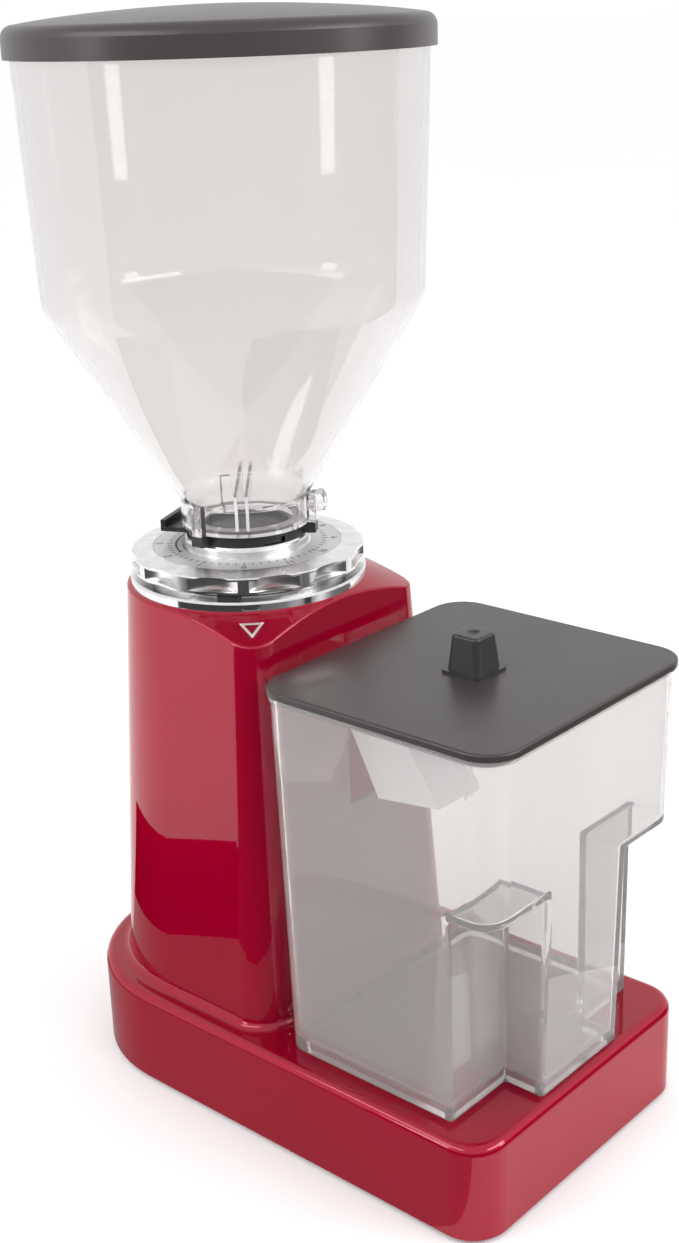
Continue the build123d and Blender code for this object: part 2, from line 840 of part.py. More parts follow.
def hopper_face(inset, bottom, top, neck):
    """Half section of the hopper's outside, or of its inside when inset."""
    outline = make_face(Polyline(
        (0, bottom),
        (neck, bottom),
        (neck, neck_top),
        (cone_top_radius - inset, cone_top),
        (hopper_rim_radius - inset, top),
        (0, top),
        close=True,
    ))
    bend = outline.vertices().sort_by_distance((cone_top_radius - inset, cone_top))[0]
    outline = fillet(bend, 14)
    root = outline.vertices().sort_by_distance((neck, neck_top))[0]
    return fillet(root, 5)


def hopper():
    """Clear conical bean hopper, with a finger guard across its neck."""
    outer = revolve(Plane.XZ * hopper_face(0, neck_bottom, hopper_top, neck_radius), axis=Axis.Z)
    lug = block(neck_radius - 2, hopper_lug_reach, -2.6, 2.6, neck_bottom, neck_top + 1)
    for angle in hopper_lug_angles:
        outer += Rot(0, 0, angle) * lug
    outer += Rot(0, 0, lock_angle) * Pos(neck_radius, 0, lock_height) * Rot(0, 90, 0) * Cylinder(3.8, 7)
    floor = neck_bottom + hopper_wall
    inner_neck = neck_radius - hopper_wall
    space = revolve(Plane.XZ * hopper_face(hopper_wall, floor, hopper_top + 1, inner_neck), axis=Axis.Z)
    body = outer - space - disc(neck_throat, neck_bottom - 1, floor + 1)
    for offset in guard_offsets:
        rib = block(-40, 40, offset - 0.7, offset + 0.7, floor - 1, floor + guard_height)
        body += (Rot(0, 0, guard_angle) * rib) & (space + disc(inner_neck + 1, floor - 1, floor))
    hole = Pos(neck_radius, 0, lock_height) * Rot(0, 90, 0) * Cylinder(m4_radius + thread_gap, 20)
    return body - Rot(0, 0, lock_angle) * hole


def lock_knob():
    """Clear thumb screw that holds the hopper to its collar."""
    grip = Pos(neck_radius + 3.8, 0, lock_height) * Rot(0, 90, 0)
    knob = grip * Cylinder(lock_radius, 6.2, align=(Align.CENTER, Align.CENTER, Align.MIN))
    knob = fillet(knob.edges().filter_by(GeomType.CIRCLE), 1)
    shank = Pos(neck_radius - 2, 0, lock_height) * Rot(0, 90, 0)
    knob += shank * Cylinder(2, 6.5, align=(Align.CENTER, Align.CENTER, Align.MIN))
    return Rot(0, 0, lock_angle) * knob


def hopper_lid():
    """Domed lid that fits over the hopper's rim."""
    skirt_inner = hopper_rim_radius + slide_gap
    seat = lid_bottom + lid_skirt
    shoulder = seat + lid_rim - 0.6
    edge = make_face([
        Polyline((0, seat + lid_rim - lid_wall + 1.4), (hopper_rim_radius - 4, seat + 2.4),
                 (hopper_rim_radius - 4, seat), (skirt_inner, seat), (skirt_inner, lid_bottom),
                 (hopper_lid_radius, lid_bottom), (hopper_lid_radius, shoulder - 3.5)),
        Spline((hopper_lid_radius, shoulder - 3.5), (hopper_lid_radius - 1.6, shoulder - 0.3),
               (hopper_lid_radius - 6, shoulder + 1.4)),
        Spline((hopper_lid_radius - 6, shoulder + 1.4), (hopper_lid_radius * 0.5, lid_top - 1.6),
               (0, lid_top), tangents=((-1, 0.16), (-1, 0))),
        Line((0, lid_top), (0, seat + lid_rim - lid_wall + 1.4)),
    ])
    return revolve(Plane.XZ * edge, axis=Axis.Z)


def container():
    """Clear grounds container with two finger notches and a slot for the spout."""
    body = container_block(container_bottom, container_top, 0)
    lip = container_plan(container_top_half + rim_lip, container_front_top + rim_lip,
                         container_back_top - rim_lip, container_top_corner + rim_lip)
    body += slab(lip, container_top - 2, container_top)
    floor = container_bottom + foot_rim_height + container_wall
    space = container_block(floor, container_top + 1, container_wall)
    body = notched(body, 0, notch_radius) - notched(space, container_wall, notch_radius)
    recess = container_plan(container_bottom_half - foot_rim, container_front_bottom - foot_rim,
                            container_back_bottom + foot_rim, 6)
    recess = slab(recess, container_bottom - 1, container_bottom + foot_rim_height)
    for side in (-1, 1):
        recess -= notch_box(side, foot_rim)
    body -= recess
    return body - block(-slot_half, slot_half, -container_back_bottom - 6, 0, slot_bottom, container_top + 1)


def notched(body, grow, radius):
    """A block with both finger notches cut out of it, their edges rounded."""
    for side in (-1, 1):
        body -= notch_box(side, grow)
    inner, back, top = notch_inner - grow, -notch_back + grow, notch_top + grow
    edges = [
        edge for edge in body.edges()
        if abs(abs(edge.center().X) - inner) < 0.05 and edge.center().Y < back + 0.05
        or abs(edge.center().Y - back) < 0.05 and abs(edge.center().X) > inner - 0.05
        or abs(edge.center().Z - top) < 0.05
    ]
    floor = container_bottom + foot_rim_height + container_wall
    return fillet([edge for edge in edges if edge.center().Z > floor + 0.1], radius)


def notch_box(side, grow):
    """Space of one finger notch in a front corner, grown by a wall where asked."""
    inner = notch_inner - grow
    near, far = sorted((side * inner, side * 99))
    return block(near, far, -250, -notch_back + grow, 0, notch_top + grow)


def container_lid():
    """Flat lid of the container, with a plug rim underneath."""
    plan = container_plan(container_lid_half, container_lid_front, container_lid_back, container_lid_corner)
    body = slab(plan, container_lid_bottom, container_lid_top)
    body = fillet(body.edges().group_by(Axis.Z)[-1], 1.2)
    play = container_wall + slide_gap
    outer = container_plan(container_top_half - play, container_front_top - play, container_back_top + play,
                           container_top_corner - play)
    play += plug_wall
    inner = container_plan(container_top_half - play, container_front_top - play, container_back_top + play,
                           container_top_corner - play)
    plug = slab(outer, container_lid_bottom - plug_depth, container_lid_bottom + 0.5)
    plug -= slab(inner, container_lid_bottom - plug_depth - 1, container_lid_bottom)
    body += plug
    hole = disc(m4_radius + screw_gap, container_lid_bottom - 9, container_lid_top + 1)
    return body - Pos(0, knob_y(), 0) * hole


def knob_y():
    """Middle of the container's lid."""
    return -(container_lid_front + container_lid_back) / 2


def lid_knob():
    """Square tapered knob on the container's lid."""
    foot = slab(RectangleRounded(knob_foot + 1.6, knob_foot + 1.6, 3.5), 0, 1.2)
    low = Pos(0, 0, 1) * RectangleRounded(knob_foot - 2.6, knob_foot - 2.6, 3)
    high = Pos(0, 0, knob_height) * RectangleRounded(knob_top, knob_top, 3)
    grip = loft([low, high], ruled=True)
    grip = fillet(grip.edges().group_by(Axis.Z)[-1], 1.4)
    body = foot + grip
    body -= Pos(0, 0, knob_height + 4.2) * Sphere(5.2)
    body -= disc(m4_radius + thread_gap, -1, 11)
    return Pos(0, knob_y(), container_lid_top) * body


def knob_screw():
    """Screw from under the lid into the knob."""
    head = disc(3.6, container_lid_bottom - 2, container_lid_bottom)
    shank = disc(2, container_lid_bottom - 0.1, container_lid_top + 10)
    return Pos(0, knob_y(), 0) * (head + shank)


def switch_body():
    """Snap-in body and bezel of the power switch."""
    half, high = switch_length / 2, switch_height / 2
    bezel = block(base_width / 2, base_width / 2 + 1.8, -half - 1, half + 1, -high - 1, high + 1)
    bezel = fillet(bezel.edges().filter_by(Axis.X), 2)
    bezel = fillet(bezel.edges().group_by(Axis.X)[-1], 0.7)
    half, high = half - 1.7, high - 1.7
    body = bezel + block(base_width / 2 - 21, base_width / 2 + 0.5, -half, half, -high, high)
    pivot = rocker_pivot()
    body -= Pos(pivot, 0, 0) * Cylinder(rocker_radius + 0.35, 2 * rocker_half + 0.7)
    mouth = block(pivot, base_width / 2 + 9, -rocker_radius - 0.35, rocker_radius + 0.35, -rocker_half - 0.35,
                  rocker_half + 0.35)
    body -= mouth
    body -= Pos(pivot, 0, 0) * Cylinder(1.5 + running_gap, 2 * rocker_half + 4)
    for y in (-6, 0, 6):
        body += block(base_width / 2 - 29, base_width / 2 - 20.5, y - 0.4, y + 0.4, -3, 3)
    return Pos(0, switch_y, switch_z()) * body


def rocker_pivot():
    """X of the rocker's pivot."""
    return base_width / 2 - 4.5


def rocker():
    """Rocker of the power switch, on its own pivot pin, off side pressed in."""
    pivot = rocker_pivot()
    body = Cylinder(rocker_radius, 2 * rocker_half)
    for tilt in (-8, 8):
        body -= Rot(0, 0, tilt) * block(7.6, 30, -30 if tilt > 0 else 0, 0 if tilt > 0 else 30, -20, 20)
    body += Cylinder(1.5, 2 * rocker_half + 3.4)
    return Pos(pivot, switch_y, switch_z()) * Rot(0, 0, -8) * body


def cable_gland():
    """Strain-relief gland body in the back of the base."""
    inside = base_back - base_wall
    body = turned_back(gland_radius, inside - 6, base_back + 0.2)
    body += turned_back(11, base_back, base_back + 3)
    body += turned_back(9, base_back + 2.9, base_back + 11)
    return body - turned_back(gland_bore, inside - 9, base_back + 20)


def turned_back(radius, start, end):
    """Cylinder along Y at the height of the gland."""
    rod = Cylinder(radius, end - start, align=(Align.CENTER, Align.CENTER, Align.MIN))
    return Pos(0, start, switch_z()) * Rot(-90, 0, 0) * rod


def gland_nut():
    """Hexagon nut that holds the gland from inside."""
    inside = base_back - base_wall
    nut = extrude(RegularPolygon(11.4, 6), amount=3.5)
    nut = Pos(0, inside - face_gap, switch_z()) * Rot(90, 0, 0) * nut
    return nut - turned_back(gland_radius + thread_gap, inside - 9, inside + 9)


def capacitor():
    """Run capacitor lying across the front of the base."""
    can = Pos(0, capacitor_y, switch_z()) * Rot(0, 90, 0) * Cylinder(capacitor_radius, capacitor_length)
    can = fillet(can.edges().filter_by(GeomType.CIRCLE), 1.5)
    for y in (-6, 6):
        tag = block(capacitor_length / 2 - 1, capacitor_length / 2 + 7, y - 0.4, y + 0.4, -3, 3)
        can += Pos(0, capacitor_y, switch_z()) * tag
    return can


def capacitor_clip():
    """Spring clip that stands on the bottom cover and grips the capacitor."""
    outer = Cylinder(capacitor_radius + 1.6, 18) - Cylinder(capacitor_radius + seat_gap, 20)
    band = Pos(0, capacitor_y, switch_z()) * Rot(0, 90, 0) * outer
    band -= block(-20, 20, capacitor_y - 9, capacitor_y + 9, switch_z() + 5, switch_z() + 30)
    foot = block(-9, 9, capacitor_y - 12, capacitor_y + 12, cover_top, switch_z() - 10)
    foot -= Pos(0, capacitor_y, switch_z()) * Rot(0, 90, 0) * Cylinder(capacitor_radius + 0.8, 40)
    return band + foot


def terminal_block():
    """Terminal block on the bottom cover."""
    body = block(-24, 24, terminal_y - 9, terminal_y + 9, cover_top, cover_top + 13)
    body = chamfer(body.edges().filter_by(Axis.X).group_by(Axis.Z)[-1], 3)
    for i in range(4):
        x = (i - 1.5) * 12
        body -= Pos(x, terminal_y, 0) * disc(2.6, cover_top + 6, cover_top + 20)
        body -= Pos(x, terminal_y, cover_top + 4) * Rot(90, 0, 0) * Cylinder(1.9, 40)
    return body


def write(node, piece):
    """Write one node, with the burr axis moved back from the origin."""
    solids = piece if isinstance(piece, list) else [piece]
    moved = [Pos(0, axis_shift, 0) * solid for solid in solids]
    export_step(moved[0] if len(moved) == 1 else Compound(children=moved), f"parts/{node}.step")


casting = housing()
write("housing_base", split(casting, bisect_by=Plane.XY.offset(casting_split), keep=Keep.BOTTOM))
write("housing_column", split(casting, bisect_by=Plane.XY.offset(casting_split), keep=Keep.TOP))
write("bottom_cover", bottom_cover())
write("cover_screws", cover_screws())
write("rubber_feet", rubber_feet())
write("burr_chamber", burr_chamber())
write("chamber_screws", ring_of(chamber_screw_circle(), 4, 45, small_screw(column_top - 0.2, 6)))
write("discharge_chute", chute())
write("chute_screws", chute_screws())
write("dial_seat_ring", seat_ring())
write("seat_ring_screws", ring_of(seat_screw_circle, 3, 30, small_screw(ring_top - 0.2, 10)))
write("dial_stop_block", stop_block())
write("pointer_mark", pointer_mark())
write("adjusting_dial", dial())
write("dial_stop_pin", stop_pin())
write("dial_scale_ring", scale_ring())
write("upper_burr_carrier", upper_carrier())
write("upper_burr", burr(False))
write("upper_burr_screws", burr_screws(False))
write("lower_burr", burr(True))
write("lower_burr_screws", burr_screws(True))
write("lower_burr_carrier", lower_carrier())
write("burr_nut", burr_nut())
write("motor_shaft", shaft())
write("shaft_seal", shaft_seal())
write("motor_bell_upper", end_bell(True))
write("motor_bell_lower", end_bell(False))
write("bearing_upper", bearing(chamber_bottom - bearing_set - bearing_width))
write("bearing_lower", bearing(motor_bottom + bearing_set))
write("stator_core", stator_core())
write("stator_windings", windings())
write("rotor_core", rotor_core())
write("cooling_fan", cooling_fan())
write("motor_bolts", motor_bolts())
write("hopper_collar", collar())
write("slide_gate", slide_gate())
write("hopper", hopper())
write("hopper_lock_knob", lock_knob())
write("hopper_lid", hopper_lid())
write("grounds_container", container())
write("container_lid", container_lid())
write("lid_knob", lid_knob())
write("knob_screw", knob_screw())
write("switch_body", switch_body())
write("power_rocker", rocker())
write("cable_gland", cable_gland())
write("gland_nut", gland_nut())
write("run_capacitor", capacitor())
write("capacitor_clip", capacitor_clip())
write("terminal_block", terminal_block())
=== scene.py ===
"""Looks of the burr coffee grinder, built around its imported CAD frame."""
import json
import logging
import math
from dataclasses import dataclass, field
from enum import Enum
from functools import cached_property

import bmesh
import bpy
from mathutils import Matrix, Vector


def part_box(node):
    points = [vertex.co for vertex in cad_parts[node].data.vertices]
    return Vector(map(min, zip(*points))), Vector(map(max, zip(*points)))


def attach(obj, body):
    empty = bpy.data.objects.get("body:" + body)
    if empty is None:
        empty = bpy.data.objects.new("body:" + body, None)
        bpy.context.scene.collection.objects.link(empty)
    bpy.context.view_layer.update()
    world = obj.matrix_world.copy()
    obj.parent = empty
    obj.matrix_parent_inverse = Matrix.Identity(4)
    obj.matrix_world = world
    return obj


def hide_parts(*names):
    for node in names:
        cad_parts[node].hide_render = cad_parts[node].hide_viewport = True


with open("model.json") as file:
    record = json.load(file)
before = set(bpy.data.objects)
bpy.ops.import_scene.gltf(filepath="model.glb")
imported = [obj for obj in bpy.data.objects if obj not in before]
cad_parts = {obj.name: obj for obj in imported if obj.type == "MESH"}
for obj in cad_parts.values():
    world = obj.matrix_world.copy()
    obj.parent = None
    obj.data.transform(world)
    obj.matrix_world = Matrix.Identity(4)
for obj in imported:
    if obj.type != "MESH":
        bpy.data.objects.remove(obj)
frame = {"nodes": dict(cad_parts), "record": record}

LOG = logging.getLogger("coffee_grinder")
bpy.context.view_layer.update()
MM = 0.001
SMOOTH_LIMIT = math.radians(32)
FIGURE_SHARE = 0.7       # a figure's height as a share of its text size
Color = tuple[float, float, float]


def shaded(color: Color, share: float) -> Color:
    """That colour, made darker or lighter by a factor."""
    return tuple(share * part for part in color)


# --------------------------------------------------------------------------- shader building


class Value:
    """A number inside a material, with Python's arithmetic."""

    def __init__(self, graph: "Graph", socket: bpy.types.NodeSocket) -> None:
        """Wraps one output socket of a graph."""
        self.graph = graph
        self.socket = socket

    def __add__(self, other: "Value | float") -> "Value":
        """Sum."""
        return self.graph.maths("ADD", self, other)

    def __mul__(self, other: "Value | float") -> "Value":
        """Product."""
        return self.graph.maths("MULTIPLY", self, other)

    def __sub__(self, other: "Value | float") -> "Value":
        """Difference."""
        return self.graph.maths("SUBTRACT", self, other)

    def __rsub__(self, other: float) -> "Value":
        """Difference, with a plain number first."""
        return self.graph.maths("SUBTRACT", other, self)

    def __truediv__(self, other: "Value | float") -> "Value":
        """Quotient."""
        return self.graph.maths("DIVIDE", self, other)

    def __pow__(self, other: float) -> "Value":
        """Power."""
        return self.graph.maths("POWER", self, other)

    __radd__ = __add__
    __rmul__ = __mul__

    def ramp(self, low: float, high: float) -> "Value":
        """A smooth 0 to 1 step of this value.

        Args:
            low: value at which the step starts.
            high: value at which the step is done.

        Returns:
            The stepped value.
        """
        inputs = {"Value": self, "From Min": low, "From Max": high}
        return self.graph.value("MapRange", {"interpolation_type": "SMOOTHSTEP"}, inputs)


class Graph:
    """The node tree of one material."""

    def __init__(self, name: str) -> None:
        """Starts an empty material.

        Args:
            name: the material's name.
        """
        self.material = bpy.data.materials.new(name)
        self.material.use_nodes = True
        self.tree = self.material.node_tree
        self.tree.nodes.clear()
        self.place = self.node("TexCoord").outputs["Object"]

    def node(self, kind: str, settings: dict | None = None,
             inputs: dict | None = None) -> bpy.types.Node:
        """Adds one node.

        Args:
            kind: node type without its ShaderNode prefix.
            settings: attributes set first; "stops" fills a colour ramp.
            inputs: values or links of its sockets, by name or number.

        Returns:
            The new node.
        """
        made = self.tree.nodes.new(f"ShaderNode{kind}")
        for name, setting in (settings or {}).items():
            if name == "stops":
                for index, (place, color) in enumerate(setting):
                    stops = made.color_ramp.elements
                    stop = stops[index] if index < len(stops) else stops.new(place)
                    stop.position, stop.color = place, (*color, 1.0)
            else:
                setattr(made, name, setting)
        for name, given in (inputs or {}).items():
            socket = given.socket if isinstance(given, Value) else given
            if isinstance(socket, bpy.types.NodeSocket):
                self.tree.links.new(socket, made.inputs[name])
            else:
                made.inputs[name].default_value = socket
        return made

    def value(self, kind: str, settings: dict | None = None, inputs: dict | None = None,
              output: int | str = 0) -> Value:
        """Adds one node and returns one of its outputs as a number."""
        return Value(self, self.node(kind, settings, inputs).outputs[output])

    def maths(self, operation: str, *terms: "Value | float") -> Value:
        """Adds one Math node over the terms."""
        return self.value("Math", {"operation": operation}, dict(enumerate(terms)))

    def stretched(self, scale: Color) -> bpy.types.NodeSocket:
        """Object coordinates, scaled along each axis."""
        return self.node("Mapping", None, {"Vector": self.place, "Scale": scale}).outputs[0]

    def noise(self, scale: float, detail: float = 2.0, vector: bpy.types.NodeSocket | None = None) -> Value:
        """Fractal noise between 0 and 1.

        Args:
            scale: grains per metre.
            detail: octaves.
            vector: coordinates; the object's own when left out.

        Returns:
            The noise value.
        """
        inputs = {"Vector": vector or self.place, "Scale": scale, "Detail": detail, "Roughness": 0.55}
        return self.value("TexNoise", None, inputs, "Fac")

    def blend(self, share: "Value | float", first: "Color | bpy.types.NodeSocket",
              second: "Color | bpy.types.NodeSocket") -> bpy.types.NodeSocket:
        """Mixes two colours.

        Args:
            share: how much of the second colour, from 0 to 1.
            first: the first colour, or a link to one.
            second: the second colour, or a link to one.

        Returns:
            The mixed colour's socket.
        """
        colors = [(*c, 1.0) if isinstance(c, tuple) else c for c in (first, second)]
        made = self.node("Mix", {"data_type": "RGBA"}, {0: share, 6: colors[0], 7: colors[1]})
        return made.outputs[2]

    def bump(self, height: Value, strength: float, distance: float) -> bpy.types.NodeSocket:
        """Normals pushed by a height, its full range being distance metres deep."""
        inputs = {"Height": height, "Strength": strength, "Distance": distance}
        return self.node("Bump", None, inputs).outputs[0]

    def surface(self, **inputs: object) -> bpy.types.Material:
        """Closes the graph with one Principled surface.

        Args:
            inputs: the shader's sockets, with _ for a space.

        Returns:
            The finished material.
        """
        named = {
            name.replace("_", " "): (*given, 1.0) if isinstance(given, tuple) else given
            for name, given in inputs.items()
        }
        shader = self.node("BsdfPrincipled", None, named)
        self.node("OutputMaterial", None, {"Surface": shader.outputs[0]})
        return self.material


# --------------------------------------------------------------------------- finishes


@dataclass(frozen=True)
class Finish:
    """A surface finish of one material slot."""

    slot: str
    variant: str = field(default="", kw_only=True)

    def make(self, graph: Graph) -> bpy.types.Material:
        """Builds the finish's nodes."""
        raise NotImplementedError

    def material(self) -> bpy.types.Material:
        """The finish's material, made at its first use."""
        name = f"{self.slot}{self.variant}_finish"
        return bpy.data.materials.get(name) or self.make(Graph(name))

    def dress(self, piece: bpy.types.Object) -> None:
        """Gives a piece this finish in all its slots.

        Args:
            piece: the piece to dress.
        """
        if not piece.material_slots:
            piece.data.materials.append(None)
        for own in piece.material_slots:
            own.material = self.material()


@dataclass(frozen=True)
class CandyPaint(Finish):
    """Metallic candy paint: fine flake under a tinted gloss coat."""

    deep: Color = (0.28, 0.0004, 0.014)
    bright: Color = (0.34, 0.0008, 0.026)
    edge: Color = (0.90, 0.06, 0.10)
    flake: float = 2600.0
    metallic: float = 0.32
    rough: float = 0.30
    coat: float = 0.85
    coat_rough: float = 0.02
    coat_index: float = 1.5

    def make(self, graph: Graph) -> bpy.types.Material:
        """Builds the flake, the tinted gloss and its orange peel.

        Args:
            graph: the empty graph that takes the nodes.

        Returns:
            The finished material.
        """
        cells = {"Vector": graph.place, "Scale": self.flake}
        speck = graph.value("TexVoronoi", {"feature": "F1"}, cells, "Color")
        cloud = graph.noise(38.0, 3.0)
        color = graph.blend(speck * 0.35 + cloud * 0.5, self.deep, self.bright)
        peel = graph.noise(420.0, 1.0)
        dust = graph.noise(90.0, 4.0).ramp(0.58, 0.75)
        return graph.surface(
            Base_Color=color, Metallic=self.metallic, Roughness=speck * 0.08 + dust * 0.03 + self.rough,
            Normal=graph.bump(speck * 0.6 + peel, 0.10, 0.00004), Specular_Tint=self.edge,
            Coat_Weight=self.coat, Coat_Roughness=self.coat_rough, Coat_IOR=self.coat_index,
            Specular_IOR_Level=0.0,
        )


@dataclass(frozen=True)
class Chrome(Finish):
    """Bright plating with the faint ripple and haze of polished metal."""

    tint: Color = (0.80, 0.80, 0.81)
    rough: float = 0.03
    ripple: float = 0.10
    shade: float = 0.88

    def make(self, graph: Graph) -> bpy.types.Material:
        """Builds the haze and ripple of polished plating.

        Args:
            graph: the empty graph that takes the nodes.

        Returns:
            The finished material.
        """
        haze = graph.noise(160.0, 4.0)
        ripple = graph.noise(300.0, 1.0)
        color = graph.blend(haze.ramp(0.35, 0.7), self.tint, shaded(self.tint, self.shade))
        return graph.surface(
            Base_Color=color, Metallic=1.0, Roughness=haze * 0.10 + self.rough,
            Normal=graph.bump(ripple, self.ripple, 0.00003),
        )


class Grain(Enum):
    """How a metal was worked."""

    TURNED = "turned"
    CAST = "cast"
    ROLLED = "rolled"


GRAIN_SCALES: dict[Grain, Color] = {
    Grain.TURNED: (1.0, 1.0, 60.0),
    Grain.CAST: (1.0, 1.0, 1.0),
    Grain.ROLLED: (40.0, 1.0, 1.0),
}


@dataclass(frozen=True)
class Metal(Finish):
    """Bare metal with the marks of how it was worked."""

    tint: Color = (0.6, 0.6, 0.61)
    rough: float = 0.32
    grain: Grain = Grain.ROLLED
    metallic: float = 1.0

    def make(self, graph: Graph) -> bpy.types.Material:
        """Builds the worked metal's grain.

        Args:
            graph: the empty graph that takes the nodes.

        Returns:
            The finished material.
        """
        fine = graph.noise(220.0, 5.0, graph.stretched(GRAIN_SCALES[self.grain]))
        broad = graph.noise(55.0, 3.0)
        color = graph.blend(broad * 0.5 + fine * 0.3, self.tint, shaded(self.tint, 0.72))
        depth = 0.00012 if self.grain is Grain.CAST else 0.00003
        return graph.surface(
            Base_Color=color, Metallic=self.metallic,
            Roughness=fine * 0.16 + broad * 0.06 + (self.rough - 0.1), Normal=graph.bump(fine, 0.35, depth),
        )


@dataclass(frozen=True)
class Moulded(Finish):
    """Moulded plastic or rubber with a fine spark-eroded grain."""

    tint: Color = (0.1, 0.1, 0.1)
    rough: float = 0.45
    grain: float = 900.0
    relief: float = 0.00003
    # Painted light: an even emission that brightens the plastic beyond what the lamps give it.
    glow: float = 0.0

    def make(self, graph: Graph) -> bpy.types.Material:
        """Builds the eroded grain and the smears of handling.

        Args:
            graph: the empty graph that takes the nodes.

        Returns:
            The finished material.
        """
        grain = graph.noise(self.grain, 3.0)
        smear = graph.noise(22.0, 4.0)
        color = graph.blend(smear * 0.7 + grain * 0.3, shaded(self.tint, 1.12), shaded(self.tint, 0.82))
        return graph.surface(
            Base_Color=color, Roughness=smear * 0.10 + grain * 0.08 + (self.rough - 0.09),
            Normal=graph.bump(grain, 0.30, self.relief),
            # The emission is painted light: a glow standing in for light the lamps don't bring; zero unless
            # set.
            Emission_Color=self.tint, Emission_Strength=self.glow,
        )


@dataclass(frozen=True)
class ClearPlastic(Finish):
    """Clear moulded plastic with faint flow waves and handling haze."""

    tint: Color = (0.875, 0.86, 0.855)
    milk: float = 0.04
    index: float = 1.49
    waves: float = 0.00006

    def make(self, graph: Graph) -> bpy.types.Material:
        """Builds the clear wall, its flow waves and its haze.

        Args:
            graph: the empty graph that takes the nodes.

        Returns:
            The finished material.
        """
        wave = graph.noise(26.0, 2.0, graph.stretched((1.0, 1.0, 0.35)))
        haze = graph.noise(60.0, 5.0)
        return graph.surface(
            Base_Color=self.tint, Roughness=haze.ramp(0.5, 0.8) * 0.05 + 0.01,
            Transmission_Weight=1.0 - self.milk, IOR=self.index,
            Normal=graph.bump(wave, 0.5, self.waves),
        )


@dataclass(frozen=True)
class Laminated(Finish):
    """Stacked electrical steel: thin dark and light sheets."""

    tint: Color = (0.22, 0.22, 0.24)
    sheet: float = 0.7 * MM

    def make(self, graph: Graph) -> bpy.types.Material:
        """Builds the stacked sheets.

        Args:
            graph: the empty graph that takes the nodes.

        Returns:
            The finished material.
        """
        height = graph.value("SeparateXYZ", None, {0: graph.place}, "Z")
        sheets = graph.maths("SINE", height * (2 * math.pi / self.sheet))
        stain = graph.noise(70.0, 4.0)
        color = graph.blend(sheets * 0.25 + stain * 0.5, self.tint, shaded(self.tint, 0.45))
        return graph.surface(
            Base_Color=color, Metallic=0.8, Roughness=stain * 0.2 + 0.35,
            Normal=graph.bump(sheets, 0.4, 0.00005),
        )


@dataclass(frozen=True)
class Wound(Finish):
    """Enamelled copper wire, laid round the winding."""

    tint: Color = (0.60, 0.26, 0.10)
    wire: float = 0.9 * MM

    def make(self, graph: Graph) -> bpy.types.Material:
        """Builds the turns of the winding.

        Args:
            graph: the empty graph that takes the nodes.

        Returns:
            The finished material.
        """
        spot = graph.node("SeparateXYZ", None, {0: graph.place}).outputs
        radius = graph.maths("SQRT", Value(graph, spot[0]) ** 2.0 + Value(graph, spot[1]) ** 2.0)
        turns = graph.maths("SINE", radius * (2 * math.pi / self.wire) + graph.noise(60.0, 2.0) * 5.0)
        color = graph.blend(turns * 0.4 + 0.4, self.tint, shaded(self.tint, 0.35))
        return graph.surface(
            Base_Color=color, Metallic=0.6, Roughness=turns * 0.05 + 0.28, Coat_Weight=0.5,
            Normal=graph.bump(turns, 0.6, 0.0002),
        )


FINISHES: dict[str, Finish] = {
    made.slot: made
    for made in (
        CandyPaint("red_paint"),
        Chrome("chrome"),
        ClearPlastic("clear_plastic"),
        Metal("cover_steel", (0.50, 0.50, 0.51), 0.42, Grain.ROLLED),
        Metal("screw_steel", (0.62, 0.61, 0.58), 0.30, Grain.TURNED),
        Metal("cast_aluminium", (0.66, 0.66, 0.67), 0.48, Grain.CAST),
        Metal("scale_aluminium", (0.72, 0.715, 0.71), 0.38, Grain.TURNED, 0.5),
        Metal("burr_steel", (0.45, 0.45, 0.46), 0.30, Grain.TURNED),
        Laminated("lamination"),
        Wound("copper"),
        Moulded("rubber", (0.022, 0.022, 0.022), 0.75, 700.0, 0.00005),
        # Painted light: the silver plastic glows faintly, standing in for light that the clear container's
        # walls keep from the chute inside it.
        Moulded("silver_plastic", (0.90, 0.895, 0.895), 0.36, 1200.0, 0.00001, 0.18),
        Moulded("black_plastic", (0.018, 0.018, 0.018), 0.38),
        Moulded("white_mark", (0.82, 0.79, 0.77), 0.40, 900.0, 0.00001),
        Moulded("grey_plastic", (0.040, 0.033, 0.032), 0.34),
        Moulded("dark_plastic", (0.030, 0.030, 0.028), 0.34),
        Moulded("gloss_black", (0.012, 0.012, 0.012), 0.16, 500.0, 0.00001),
        Moulded("capacitor_can", (0.72, 0.72, 0.68), 0.35),
        Moulded("white_plastic", (0.80, 0.80, 0.76), 0.45),
    )
}
NODE_FINISHES: dict[str, Finish] = {
    "adjusting_dial": Chrome("chrome", tint=(0.80, 0.79, 0.79), rough=0.20, ripple=0.02, variant="_satin"),
    "grounds_container": ClearPlastic("clear_plastic", (0.88, 0.865, 0.86), 0.13, 1.36, variant="_wall"),
}


# --------------------------------------------------------------------------- mesh building


def piece_from(name: str, mesh: bmesh.types.BMesh, slot: str, body: str) -> bpy.types.Object:
    """Turns a bmesh into a finished piece at the origin.

    Args:
        name: the piece's name.
        mesh: its shape, in metres in the row frame; freed here.
        slot: material slot it takes its finish from.
        body: CAD body it rides on.

    Returns:
        The new object.
    """
    data = bpy.data.meshes.new(name)
    mesh.to_mesh(data)
    mesh.free()
    piece = bpy.data.objects.new(name, data)
    bpy.context.scene.collection.objects.link(piece)
    for face in data.polygons:
        face.use_smooth = True
    data.set_sharp_from_angle(angle=SMOOTH_LIMIT)
    FINISHES[slot].dress(piece)
    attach(piece, body)
    LOG.info("%s: %d faces, on %s", name, len(data.polygons), body)
    return piece


# --------------------------------------------------------------------------- studio


